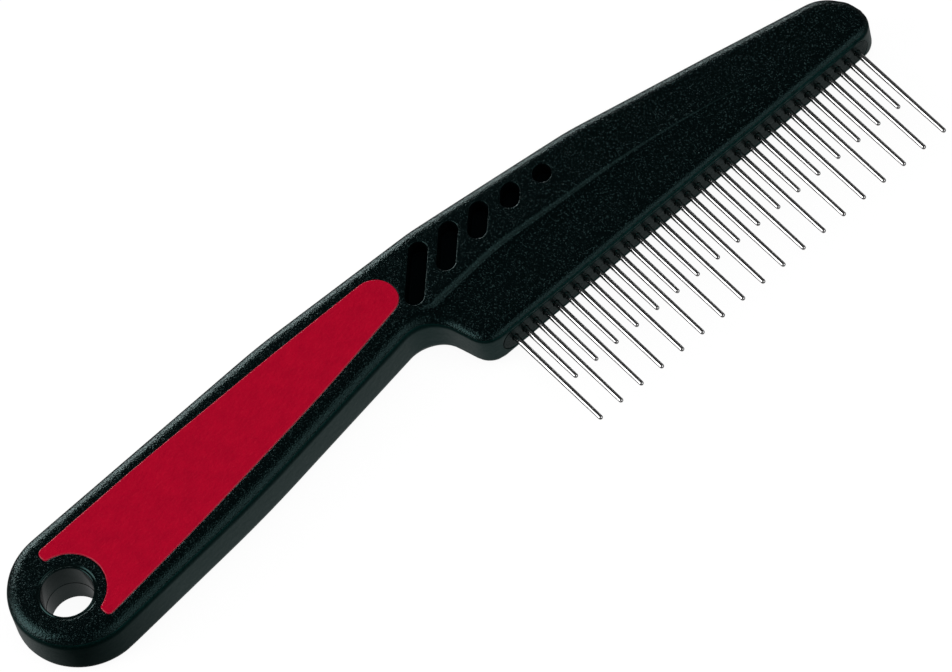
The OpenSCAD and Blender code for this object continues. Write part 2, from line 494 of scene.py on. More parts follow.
class Recipe:
    """A material's node tree under construction."""

    def __init__(self, name: str) -> None:
        """Start a material with an output and a principled shader.

        Args:
            name: The material's name.
        """
        self.material = bpy.data.materials.new(name)
        self.material.use_nodes = True
        self.tree = self.material.node_tree
        self.tree.nodes.clear()
        self.output = self.add("ShaderNodeOutputMaterial")
        self.shader = self.add("ShaderNodeBsdfPrincipled")
        self.link(self.shader.outputs["BSDF"], self.output.inputs["Surface"])

    def add(self, kind: str, **sockets: object) -> Node:
        """Add a node and set its sockets.

        Args:
            kind: The node's type.
            **sockets: Values for its inputs, by name with underscores for spaces.

        Returns:
            The node.
        """
        node = self.tree.nodes.new(kind)
        for name, value in sockets.items():
            node.inputs[name.replace("_", " ")].default_value = value
        return node

    def link(self, source: NodeSocket, target: NodeSocket) -> None:
        """Join an output to an input."""
        self.tree.links.new(source, target)

    def noise(self, size: float, detail: float, stretch: Vector | None = None) -> NodeSocket:
        """Add a noise pattern fixed to the object.

        Args:
            size: The pattern's grain in millimetres.
            detail: How many finer layers it has.
            stretch: How much coarser it is along each axis.

        Returns:
            The pattern's value.
        """
        coordinates = self.add("ShaderNodeTexCoord").outputs["Object"]
        if stretch is not None:
            mapping = self.add("ShaderNodeMapping")
            mapping.inputs["Scale"].default_value = [1 / s for s in stretch]
            self.link(coordinates, mapping.inputs["Vector"])
            coordinates = mapping.outputs["Vector"]
        pattern = self.add("ShaderNodeTexNoise", Scale=1 / (size * MM), Detail=detail, Roughness=0.55)
        self.link(coordinates, pattern.inputs["Vector"])
        return pattern.outputs["Fac"]

    def spread(
        self, value: NodeSocket, low: float, high: float, start: float = 0.3, end: float = 0.7
    ) -> NodeSocket:
        """Spread a pattern's middle range over two values.

        Args:
            value: The pattern.
            low: The result at start.
            high: The result at end.
            start: The pattern's value that becomes low.
            end: The pattern's value that becomes high.

        Returns:
            The spread value.
        """
        node = self.add("ShaderNodeMapRange", From_Min=start, From_Max=end, To_Min=low, To_Max=high)
        self.link(value, node.inputs["Value"])
        return node.outputs["Result"]

    def blend(self, value: NodeSocket, first: Sequence[float], second: Sequence[float]) -> NodeSocket:
        """Blend two colours by a pattern.

        Args:
            value: The pattern, from 0 to 1.
            first: The colour at 0.
            second: The colour at 1.

        Returns:
            The blended colour.
        """
        node = self.add("ShaderNodeMix")
        node.data_type = "RGBA"
        node.inputs["A"].default_value = (*first, 1)
        node.inputs["B"].default_value = (*second, 1)
        self.link(value, node.inputs["Factor"])
        return node.outputs["Result"]

    def math(self, operation: str, first: NodeSocket, second: NodeSocket) -> NodeSocket:
        """Join two values by an arithmetic operation.

        Args:
            operation: The operation's name.
            first: The first value.
            second: The second value.

        Returns:
            The result.
        """
        node = self.add("ShaderNodeMath")
        node.operation = operation
        self.link(first, node.inputs[0])
        self.link(second, node.inputs[1])
        return node.outputs[0]

    def bump(self, height: NodeSocket, depth: float, under: NodeSocket | None = None) -> NodeSocket:
        """Turn a pattern into relief.

        Args:
            height: The pattern.
            depth: The relief's depth in millimetres.
            under: A coarser relief below it.

        Returns:
            The changed normal.
        """
        node = self.add("ShaderNodeBump", Strength=1.0, Distance=depth * MM)
        self.link(height, node.inputs["Height"])
        if under is not None:
            self.link(under, node.inputs["Normal"])
        return node.outputs["Normal"]


@dataclass(frozen=True)
class Plastic:
    """Black moulded plastic with the texture that its mould gives it.

    Lengths are in millimetres. The colour goes from deep to pale in specks, painted glints of the
    grain's peaks catching light, where the grain's value lies between the two given for them.
    Under the fine grain runs a slow wave.
    """

    name: str
    deep: tuple[float, float, float]
    pale: tuple[float, float, float]
    roughness: tuple[float, float]
    sheen_level: float
    tint: tuple[float, float, float]
    grain: float = 0.5
    grain_depth: float = 0.004
    wave: float = 6.0
    wave_depth: float = 0.02
    painted_glints: tuple[float, float] = (0.6, 0.7)

    def material(self) -> Material:
        """Build the material."""
        recipe = Recipe(self.name)
        grain = recipe.noise(self.grain, 1.0)
        # Pale specks in the colour: painted glints where the grain's peaks catch light.
        painted_glint_mask = recipe.spread(grain, 0.0, 1.0, *self.painted_glints)
        shader = recipe.shader
        recipe.link(recipe.blend(painted_glint_mask, self.deep, self.pale), shader.inputs["Base Color"])
        recipe.link(recipe.spread(grain, *self.roughness), shader.inputs["Roughness"])
        shader.inputs["Specular IOR Level"].default_value = self.sheen_level
        shader.inputs["Specular Tint"].default_value = (*self.tint, 1)
        under = recipe.bump(recipe.noise(self.wave, 2.0), self.wave_depth)
        recipe.link(recipe.bump(grain, self.grain_depth, under), shader.inputs["Normal"])
        return recipe.material


@dataclass(frozen=True)
class SoftRubber:
    """Red soft-touch rubber with a fine pebbled skin. Lengths are in millimetres."""

    name: str
    deep: tuple[float, float, float]
    pale: tuple[float, float, float]
    pebble: float
    pebble_depth: float
    gloss: float
    roughness: tuple[float, float]
    mottle: float = 2.8

    def material(self) -> Material:
        """Build the material."""
        recipe = Recipe(self.name)
        shader = recipe.shader
        mottle = recipe.spread(recipe.noise(self.mottle, 3.0), 0.0, 1.0)
        recipe.link(recipe.blend(mottle, self.deep, self.pale), shader.inputs["Base Color"])
        rough = recipe.spread(recipe.noise(self.pebble, 1.0), *self.roughness)
        recipe.link(rough, shader.inputs["Roughness"])
        shader.inputs["Specular IOR Level"].default_value = self.gloss
        pebbles = recipe.noise(self.pebble, 1.5, Vector((1.5, 1, 1)))
        recipe.link(recipe.bump(pebbles, self.pebble_depth), shader.inputs["Normal"])
        return recipe.material


@dataclass(frozen=True)
class PolishedSteel:
    """Nickel-plated steel wire with faint lines along its length, whose dark edge tint is painted shade
    along its outline. Lengths are in millimetres.
    """

    name: str
    colour: tuple[float, float, float]
    painted_edge_shade: tuple[float, float, float]
    streak: float
    streak_stretch: float = 40.0
    dulling: float = 0.86
    roughness: tuple[float, float] = (0.12, 0.2)

    def material(self) -> Material:
        """Build the material."""
        recipe = Recipe(self.name)
        shader = recipe.shader
        shader.inputs["Metallic"].default_value = 1.0
        # A dark edge tint darkens the reflection towards the outline: painted shade along the pins'
        # edges.
        shader.inputs["Specular Tint"].default_value = (*self.painted_edge_shade, 1)
        lines = recipe.noise(self.streak, 2.0, Vector((1, self.streak_stretch, 1)))
        dull = tuple(self.dulling * channel for channel in self.colour)
        shine = recipe.blend(recipe.spread(lines, 0.0, 1.0), self.colour, dull)
        recipe.link(shine, shader.inputs["Base Color"])
        recipe.link(recipe.spread(lines, *self.roughness), shader.inputs["Roughness"])
        return recipe.material


# The pale specks of the plastics below are painted glints of their grain.
GRAINED_PLASTIC = Plastic(
    name="grained_black_plastic",
    deep=(0.0002, 0.0013, 0.0015),
    pale=(0.012, 0.024, 0.024),
    roughness=(0.19, 0.25),
    sheen_level=0.27,
    tint=(0.5, 1.0, 0.98),
    grain=0.32,
    grain_depth=0.13,
)
SATIN_PLASTIC = Plastic(
    name="satin_black_plastic",
    deep=(0.0004, 0.0034, 0.003),
    pale=(0.0014, 0.006, 0.005),
    roughness=(0.3, 0.38),
    sheen_level=0.46,
    tint=(0.1, 1.0, 0.94),
    wave=1.6,
    wave_depth=0.05,
)
BORE_PLASTIC = Plastic(
    name="bore_black_plastic",
    deep=(0.0012, 0.003, 0.003),
    pale=(0.003, 0.005, 0.005),
    roughness=(0.16, 0.22),
    sheen_level=0.26,
    tint=(0.45, 1.0, 0.96),
    grain_depth=0.003,
    wave=3.0,
    wave_depth=0.03,
)
# Darker colour than the faces: painted shade in the slots.
RECESS_SHADE_PLASTIC = Plastic(
    name="recess_painted_shade_plastic",
    deep=(0.0003, 0.0008, 0.0012),
    pale=(0.001, 0.0018, 0.0022),
    roughness=(0.5, 0.6),
    sheen_level=0.1,
    tint=(0.5, 1.0, 1.0),
)
STRIP_PLASTIC = Plastic(
    name="strip_black_plastic",
    deep=(0.0006, 0.0024, 0.0024),
    pale=(0.012, 0.017, 0.017),
    roughness=(0.26, 0.34),
    sheen_level=0.2,
    tint=(0.1, 1.0, 0.96),
    grain_depth=0.006,
    wave=1.4,
    wave_depth=0.06,
)
GRIP_RUBBER = SoftRubber(
    name="red_soft_rubber",
    deep=(0.35, 0.0006, 0.0165),
    pale=(0.4, 0.0012, 0.0185),
    pebble=0.7,
    pebble_depth=0.12,
    gloss=0.04,
    roughness=(0.34, 0.5),
)
# Paler red than the pad: partly a painted highlight where the rim catches light; its higher gloss gives
# a real one.
GRIP_EDGE_HIGHLIGHT = SoftRubber(
    name="red_rubber_edge_highlight",
    deep=(0.35, 0.002, 0.022),
    pale=(0.4, 0.004, 0.026),
    pebble=0.7,
    pebble_depth=0.02,
    gloss=0.4,
    roughness=(0.3, 0.4),
)
PIN_STEEL = PolishedSteel(
    name="polished_pin_steel",
    colour=(0.8, 0.8, 0.8),
    painted_edge_shade=(0.3, 0.3, 0.31),
    streak=0.25,
)


# ---------------------------------------------------------------------------
# The comb
# ---------------------------------------------------------------------------


@dataclass
class CombBody:
    """The one-piece moulded handle and head. Lengths are in millimetres.

    The spine thins from half to panel_half between ease_from and ease_to. The tooth panel lies
    below the ridge, whose crest is rounded with crest_r and whose foot with foot_r. Where the
    head is narrow, the panel keeps a share of the room across (least_panel: the share, and the
    most room that counts) and the spine another (least_spine).
    """

    # The walls and their rounded edges
    half: float = 6.3
    panel_half: float = 5.0
    ease_from: float = 98.0
    ease_to: float = 190.0
    edge_r: float = 3.0
    tooth_edge_r: float = 1.8
    panel_reach: float = 5.0
    panel_edge_to: float = 187.0
    tip_fade: float = 1.6
    wall_steps: int = 9
    satin_steps: int = 3
    # The ridge above the tooth panel
    slope_tilt: float = 62.0
    crest_r: float = 1.5
    crest_shift: float = 1.5
    crest_steps: int = 6
    foot_r: float = 0.4
    foot_steps: int = 3
    ridge_fade: float = 0.06
    least_panel: tuple[float, float] = (0.06, 4.0)
    least_spine: float = 0.3
    # Where the sections lie along X: close together at both ends and at the waist
    end_r: float = 14.5
    tip_reach: float = 12.0
    end_sections: int = 26
    waist: tuple[float, float] = (83.0, 99.0)
    section_steps: tuple[float, float, float] = (2.4, 0.5, 1.6)
    # The outline, anticlockwise, and the line of the ridge's crest
    corner_steps: int = 24
    corners: tuple[Corner, ...] = (
        Corner(-11.6, -14.6, 14.5),
        Corner(41.7, -10.2, 300),
        Corner(93, -2.6, 7.5),
        Corner(97, -17, 5),
        Corner(204.1, -17, 4.5),
        Corner(202.1, -3.7, 9),
        Corner(173.7, 3, 150),
        Corner(141.7, 10, 60),
        Corner(102.7, 14.9, 30),
        Corner(64, 16.76, 150),
        Corner(-11.6, 15, 14.5),
    )
    ridge: tuple[Corner, ...] = (
        Corner(-20, -21.1),
        Corner(94, -2.6, 40),
        Corner(114, -1.4, 60),
        Corner(150, -4.9, 250),
        Corner(176, -10.4, 200),
        Corner(206, -19.8),
    )
    # The hang hole, its bead and the groove round it
    hole_r: float = 5.45
    hole_lip_w: float = 0.9
    hole_bead_r: float = 5.72
    hole_bead_d: float = 0.04
    hole_groove_d: float = 0.2
    hole_draft: float = 0.1
    witness: float = 0.07
    hole_faces: int = 96
    # The slots, from the handle to the tip
    slot_w: float = 4.0
    slot_depth: float = 4.3
    slot_angle: float = 45.5
    slot_pitch: float = 7.5
    slot_rim: float = 0.28
    slot_rim_steps: int = 4
    slot_floor_r: float = 0.5
    slot_floor_bevel: float = 0.15
    slot_top: tuple[float, float] = (101.2, 9.3)
    slot_drop: tuple[float, ...] = (0, 0.8, 1.6, 2.8, 4.1)
    slot_run: tuple[float, ...] = (10.8, 7.5, 4.8, 2.1, 0.4)
    slot_flare: float = 0.12
    # The tooth strip's groove, and what the cutters share
    groove_rim: float = 0.22
    groove_gap: float = 0.04
    round_steps: int = 20
    rim_steps: int = 3
    past: float = 0.6
    flare: float = 0.1

    def __post_init__(self) -> None:
        """Round the outline and split it into a lower and an upper line."""
        outline = rounded(self.corners, self.corner_steps)
        self.x_min = min(point.x for point in outline)
        self.x_max = max(point.x for point in outline)
        left = min(range(len(outline)), key=lambda i: outline[i].x)
        turned = outline[left:] + outline[:left]
        right = max(range(len(turned)), key=lambda i: turned[i].x)
        self.lower = Line(turned[: right + 1])
        self.upper = Line(turned[right:] + turned[:1])
        crest = [self.ridge[0].place]
        for i in range(1, len(self.ridge) - 1):
            crest += arc(self.ridge[i - 1], self.ridge[i], self.ridge[i + 1], self.corner_steps // 2)
        self.crest = Line(crest + [self.ridge[-1].place])

    def spine_half(self, x: float) -> float:
        """Half of the thickness along the spine at x."""
        share = ease((x - self.ease_from) / (self.ease_to - self.ease_from))
        return self.half + (self.panel_half - self.half) * share

    def panel_share(self, x: float) -> float:
        """How far the lower wall at x belongs to the tooth panel, from 0 to 1."""
        return ease((self.crest.at(x) - self.lower.at(x)) / self.panel_reach)

    def low_half(self, x: float) -> float:
        """Half of the thickness along the lower wall at x."""
        spine = self.spine_half(x)
        return spine + (self.panel_half - spine) * self.panel_share(x)

    def stations(self) -> list[float]:
        """Places along X that have a section, from the handle's end to the tip."""
        made = []
        for i in range(self.end_sections + 1):
            angle = math.pi / 2 * i / self.end_sections
            made.append(self.x_min + self.end_r * (1 - math.cos(angle)))
        stops = (made[-1], *self.waist, self.x_max - self.tip_reach)
        for start, stop, step in zip(stops, stops[1:], self.section_steps):
            count = max(1, round((stop - start) / step))
            made += [start + (stop - start) * i / count for i in range(1, count + 1)]
        made.pop()
        for i in range(self.end_sections + 1):
            angle = math.pi / 2 * i / self.end_sections
            made.append(self.x_max - self.tip_reach * (1 - math.sin(angle)))
        return made

    def slope(self, step: float) -> list[tuple[float, float]]:
        """Follow the ridge's side from its crest down to the tooth panel.

        Args:
            step: The ridge's height above the panel in millimetres.

        Returns:
            How far each point lies towards the teeth from the crest, and below it.
        """
        tilt = math.radians(self.slope_tilt)
        full = self.half - self.panel_half
        points = []
        for i in range(self.crest_steps + 1):
            angle = math.radians(self.slope_tilt * i / self.crest_steps)
            points.append((self.crest_r * math.sin(angle), self.crest_r * (1 - math.cos(angle))))
        foot_run = self.foot_r * math.sin(tilt)
        foot_fall = self.foot_r * (1 - math.cos(tilt))
        fall = full - foot_fall
        run = points[-1][0] + (fall - points[-1][1]) / math.tan(tilt)
        for i in range(self.foot_steps + 1):
            angle = tilt * (1 - i / self.foot_steps)
            out = run + foot_run - self.foot_r * math.sin(angle)
            points.append((out, full - self.foot_r * (1 - math.cos(angle))))
        size = step / full
        return [(out * size, down * size) for out, down in points]

    def shell(self) -> Object:
        """Make the body's solid before anything is cut out of it."""
        bm = bmesh.new()
        # The cap numbers its vertices by section.
        number = bm.verts.layers.float.new("station")
        stations = self.stations()
        last = len(stations) - 1
        loop = [Vector((x, self.lower.at(x))) for x in stations]
        loop += [Vector((x, self.upper.at(x))) for x in reversed(stations[1:-1])]
        inside = inward(loop)
        radius, height = [], []
        for j, point in enumerate(loop):
            on_lower = j <= last
            if on_lower:
                share = self.panel_share(min(point.x, self.panel_edge_to))
            else:
                share = ease((point.x - self.x_max) / self.tip_fade + 1)
            radius.append(self.edge_r + (self.tooth_edge_r - self.edge_r) * share)
            height.append(self.low_half(point.x) if on_lower else self.spine_half(point.x))

        def ring_at(angle: float) -> Callable[[int], Vector]:
            """Give the ring at that angle of the edge's rounding."""

            def at(j: int) -> Vector:
                """Place the ring's vertex of that number."""
                flat = loop[j] + inside[j] * radius[j] * (1 - math.cos(angle))
                return Vector((flat.x, flat.y, height[j] - radius[j] * (1 - math.sin(angle)))) * MM

            return at

        ring = first_ring(bm, [Vector((point.x, point.y, 0)) * MM for point in loop])
        for i in range(self.wall_steps + 1):
            face = Face.SATIN if i <= self.satin_steps else Face.GRAINED
            ring = extruded_ring(bm, ring, ring_at(math.pi / 2 * i / self.wall_steps), face)
        self.cap(bm, ring, stations)
        bm.verts.layers.float.remove(number)
        bmesh.ops.mirror(bm, geom=bm.verts[:] + bm.edges[:] + bm.faces[:], axis="Z", merge_dist=SEAM)
        return finish_solid("comb_shell", bm)

    def cap(self, bm: BMesh, ring: list[BMVert], stations: list[float]) -> None:
        """Close the front of the shell, with the ridge in it.

        Args:
            bm: The shell's mesh.
            ring: The innermost ring.
            stations: The shell's stations.
        """
        bm.faces.new(ring)
        last = len(stations) - 1
        number = bm.verts.layers.float["station"]
        rungs, ends = [], {}
        for i in range(1, last):
            low, high = ring[i], ring[len(ring) - i]
            low[number] = high[number] = i
            ends[i] = (low.co / MM, high.co / MM)
            bmesh.ops.connect_verts(bm, verts=[low, high])
            rungs.append(bm.edges.get((low, high)))
        below, above = 4, 7
        cuts = below + len(self.slope(1.0)) + above
        made = bmesh.ops.subdivide_edges(bm, edges=rungs, cuts=cuts, use_grid_fill=True)
        columns: dict[int, list[BMVert]] = {}
        for item in made["geom_inner"]:
            if isinstance(item, BMVert):
                columns.setdefault(round(item[number]), []).append(item)
        for i, column in columns.items():
            column.sort(key=lambda vert: vert.co.y)
            low, high = ends[i]
            for vert, (y, z) in zip(column, self.across(stations[i], low.y, high.y, below, above)):
                x = low.x + (high.x - low.x) * (y - low.y) / (high.y - low.y)
                vert.co = Vector((x, y, z)) * MM

    def across(
        self, x: float, low: float, high: float, below: int, above: int
    ) -> list[tuple[float, float]]:
        """Place the points of one section across the face.

        Args:
            x: The section's place.
            low: Where the lower wall's rounding ends.
            high: Where the upper wall's rounding ends.
            below: How many points lie between there and the ridge's foot.
            above: How many points lie between the ridge's crest and the upper wall.

        Returns:
            The points' y and height, from the lower wall to the upper one.
        """
        spine, panel = self.spine_half(x), self.low_half(x)
        slope = self.slope(spine - panel)
        width = slope[-1][0]
        room = high - low
        share, most = self.least_panel
        crest = max(self.crest.at(x) + self.crest_shift, low + width + share * min(most, room))
        crest = min(crest, high - self.least_spine * room)
        foot = crest - width
        ridged = [(low + (foot - low) * (i + 1) / (below + 1), panel) for i in range(below)]
        ridged += [(crest - run, spine - fall) for run, fall in reversed(slope)]
        ridged += [(crest + (high - crest) * (i + 1) / (above + 1), spine) for i in range(above)]
        # Where the ridge has run out, the points spread evenly.
        flat = 1 - min(1.0, (spine - panel) / self.ridge_fade)
        points = []
        for i, (y, z) in enumerate(ridged):
            level = low + room * (i + 1) / (len(ridged) + 1)
            points.append((y + (level - y) * flat, z))
        return points

    def hole_tool(self, bm: BMesh) -> None:
        """Add the hang hole's cutter, with rounded mouths and a fine line half-way down."""
        waist = self.hole_r - self.hole_draft
        rise = [(waist - self.witness, 0.0), (waist, self.witness)]
        bead = self.hole_bead_r
        bead_steps = 5
        groove_steps = 8
        for i in range(bead_steps + 1):
            angle = math.pi / 2 * i / bead_steps
            out = self.hole_r + (bead - self.hole_r) * (1 - math.cos(angle))
            sink = self.hole_bead_d + (bead - self.hole_r) * (1 - math.sin(angle))
            rise.append((out, self.half - sink))
        # Outside the bead a shallow groove rises to the face.
        span = self.hole_r + self.hole_lip_w - bead
        for i in range(1, groove_steps + 1):
            share = i / groove_steps
            sink = self.hole_groove_d * math.sin(math.pi * share) ** 2
            rise.append((bead + span * share, self.half - self.hole_bead_d * (1 - share) - sink))
        top = self.half + self.past
        rise.append((rise[-1][0] + self.past / 3, top))
        fall = [(r, -z) for r, z in reversed(rise[1:])]
        profile = [(0.0, -top), *fall, *rise, (0.0, top)]
        lathe(bm, profile, TO_METRES, self.hole_faces, Face.BORE)

    def slot_tool(self, bm: BMesh, number: int, side: Side) -> None:
        """Add one slot's cutter.

        Args:
            bm: The cutters' mesh.
            number: The slot's number from the handle.
            side: The face that it is cut into.
        """
        x = self.slot_top[0] + number * self.slot_pitch
        y = self.slot_top[1] - self.slot_drop[number]
        slant = math.radians(180 + self.slot_angle)
        middle = x + self.slot_run[number] / 2 * math.cos(slant)
        face = self.spine_half(middle)
        floor = face - self.slot_depth
        round_r, bevel = self.slot_floor_r, self.slot_floor_bevel
        # The slots' sides and floor take the darker recess finish, which is painted shade.
        steps = [Step(-round_r, floor, Face.RECESS), Step(-bevel, floor + bevel, Face.RECESS)]
        steps.append(Step(0, floor + round_r, Face.RECESS))
        steps.append(Step(0, face - self.slot_rim, Face.RECESS))
        steps += quarter(self.slot_rim, face, self.slot_rim_steps, Face.GRAINED, opening=True)
        steps.append(Step(self.slot_rim + self.slot_flare, face + self.past, Face.GRAINED))
        place = side.space @ Matrix.Translation((x, y, 0)) @ Matrix.Rotation(slant, 4, "Z")
        loft(bm, bar(self.slot_run[number], self.slot_w, self.round_steps), steps, place)

    def pocket_tool(self, bm: BMesh, grip: "Grip", side: Side) -> None:
        """Add the cutter of one grip's pocket.

        Args:
            bm: The cutters' mesh.
            grip: The grip that fills it.
            side: The face that it is cut into.
        """
        steps = [Step(0, self.half - grip.depth, Face.SATIN), Step(0, self.half - grip.rim, Face.SATIN)]
        steps += quarter(grip.rim, self.half, self.rim_steps, Face.GRAINED, opening=True)
        steps.append(Step(grip.rim + self.flare, self.half + self.past, Face.GRAINED))
        loft(bm, grip.outline(), steps, side.space)

    def groove_tool(self, bm: BMesh) -> None:
        """Add the cutter of the groove that the tooth strip sits in."""
        low, high = (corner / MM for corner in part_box("tooth_strip"))
        gap, rim, mouth = self.groove_gap, self.groove_rim, -low.y
        steps = [Step(0, -high.y - gap, Face.SATIN), Step(0, mouth - rim, Face.SATIN)]
        steps += quarter(rim, mouth, self.rim_steps, Face.SATIN, opening=True)
        steps.append(Step(rim + self.flare, mouth + self.past, Face.SATIN))
        first = axis_x(PINS[0])
        outline = bar(axis_x(PINS[-1]) - first, high.z - low.z + 2 * gap, self.round_steps)
        loft(bm, outline, steps, tooth_space(first, 0))

    def build(self, grip: "Grip") -> Object:
        """Build the body and stand it in for its CAD node.

        Args:
            grip: The grip whose pockets it has.

        Returns:
            The body.
        """
        body = self.shell()
        bm = bmesh.new()
        self.hole_tool(bm)
        self.groove_tool(bm)
        for side in Side:
            self.pocket_tool(bm, grip, side)
            for number in range(len(self.slot_run)):
                self.slot_tool(bm, number, side)
        tool = finish_solid("cutters", bm)
        for finish in (GRAINED_PLASTIC, SATIN_PLASTIC, RECESS_SHADE_PLASTIC, BORE_PLASTIC):
            material = finish.material()
            body.data.materials.append(material)
            tool.data.materials.append(material)
        carve(body, tool)
        even_shading(body)
        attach(body, "comb")
        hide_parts("comb_body")
        return body


@dataclass
class Grip:
    """A soft inlay that fills the pocket of one face. Lengths are in millimetres.

    Its cut-out follows a circle round the hang hole, the collar, between two horns. A horn's x
    says where it stands, and its radius rounds it.
    """

    depth: float = 1.6
    rim: float = 0.16
    edge_r: float = 0.25
    edge_steps: int = 4
    cap_inset: float = 0.05
    gap: float = 0.03
    corners: tuple[Corner, ...] = (
        Corner(2.5, -10.3, 1.3),
        Corner(30, -7.2, 600),
        Corner(66, -2.25, 400),
        Corner(92.1, 2.66, 4.2),
        Corner(92.1, 11.6, 5),
        Corner(62, 12.2, 500),
        Corner(28, 12.2, 500),
        Corner(1.05, 11.35, 1.3),
    )
    corner_steps: int = 12
    collar: Corner = Corner(0.3, 0.45, 8.1)
    collar_steps: int = 40
    high_horn: Corner = Corner(1.05, 0, 0.9)
    low_horn: Corner = Corner(2.5, 0, 0.8)

    def outline(self) -> list[Vector]:
        """Outline the inlay, with the cut-out round the hang hole.

        Returns:
            The outline in millimetres, anticlockwise.
        """
        first = math.acos((self.high_horn.x - self.collar.x) / self.collar.radius)
        final = -math.acos((self.low_horn.x - self.collar.x) / self.collar.radius)
        cut = []
        for i in range(self.collar_steps + 1):
            angle = first + (final - first) * i / self.collar_steps
            spoke = Vector((math.cos(angle), math.sin(angle))) * self.collar.radius
            cut.append(Corner(self.collar.x + spoke.x, self.collar.y + spoke.y))
        high = Corner(cut[0].x, cut[0].y, self.high_horn.radius)
        low = Corner(cut[-1].x, cut[-1].y, self.low_horn.radius)
        # Next to either horn two points are left out, so that the horn's rounding has room.
        return rounded([*self.corners, high, *cut[3:-3], low], self.corner_steps)

    def build(self, side: Side, node: str) -> Object:
        """Build one inlay and stand it in for its CAD node.

        Args:
            side: The face that it lies in.
            node: The CAD node.

        Returns:
            The inlay.
        """
        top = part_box("front_grip")[1].z / MM
        bm = bmesh.new()
        steps = [Step(-self.gap, top - self.depth), Step(-self.gap, top - self.edge_r)]
        for step in quarter(self.edge_r, top, self.edge_steps, Face.SATIN, opening=False):
            steps.append(Step(step.out - self.gap, step.height, step.face))
        steps.append(Step(-self.gap - self.edge_r - self.cap_inset, top, Face.GRAINED))
        loft(bm, self.outline(), steps, side.space)
        piece = finish_solid(f"{node}_pad", bm)
        piece.data.materials.append(GRIP_RUBBER.material())
        # The rounded rim takes the paler red, partly a painted highlight.
        piece.data.materials.append(GRIP_EDGE_HIGHLIGHT.material())
        even_shading(piece)
        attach(piece, "comb")
        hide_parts(node)
        return piece


@dataclass
class Pin:
    """A turning steel pin. Lengths are in millimetres."""

    node: str
    head_t: float = 1.2
    shaft_r: float = 0.65
    tip_r: float = 0.5
    bevel: float = 0.12
    faces: int = 20
    taper_steps: int = 8
    tip_steps: int = 6
    sharp_angle: float = 50.0

    def profile(self, length: float, head_r: float, root: float) -> list[tuple[float, float]]:
        """Draw the pin's profile from its head down to its tip.

        Args:
            length: The pin's whole length.
            head_r: The head's radius.
            root: The depth at which the pin leaves the strip and starts to taper.

        Returns:
            Radius and depth of each point.
        """
        points = [(0.0, 0.0), (head_r - self.bevel, 0.0), (head_r, self.bevel)]
        points += [(head_r, self.head_t - self.bevel), (head_r - self.bevel, self.head_t)]
        points += [(self.shaft_r, self.head_t), (self.shaft_r, root)]
        shoulder = length - self.tip_r
        for i in range(1, self.taper_steps + 1):
            share = i / self.taper_steps
            radius = self.shaft_r + (self.tip_r - self.shaft_r) * share
            points.append((radius, root + (shoulder - root) * share))
        for i in range(1, self.tip_steps + 1):
            angle = math.pi / 2 * i / self.tip_steps
            points.append((self.tip_r * math.cos(angle), shoulder + self.tip_r * math.sin(angle)))
        points[-1] = (0.0, length)
        return points

    def build(self, steel: Material) -> Object:
        """Build the pin and stand it in for its CAD node.

        Args:
            steel: The pins' material.

        Returns:
            The pin.
        """
        low, high = (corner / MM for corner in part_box(self.node))
        tooth_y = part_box("tooth_strip")[0].y / MM
        profile = self.profile(high.y - low.y, (high.x - low.x) / 2, high.y - tooth_y)
        bm = bmesh.new()
        lathe(bm, profile, tooth_space(axis_x(self.node), high.y), self.faces, Face.GRAINED)
        piece = finish_solid(f"{self.node}_steel", bm, self.sharp_angle)
        piece.data.materials.append(steel)
        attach(piece, f"{self.node}_body")
        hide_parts(self.node)
        return piece


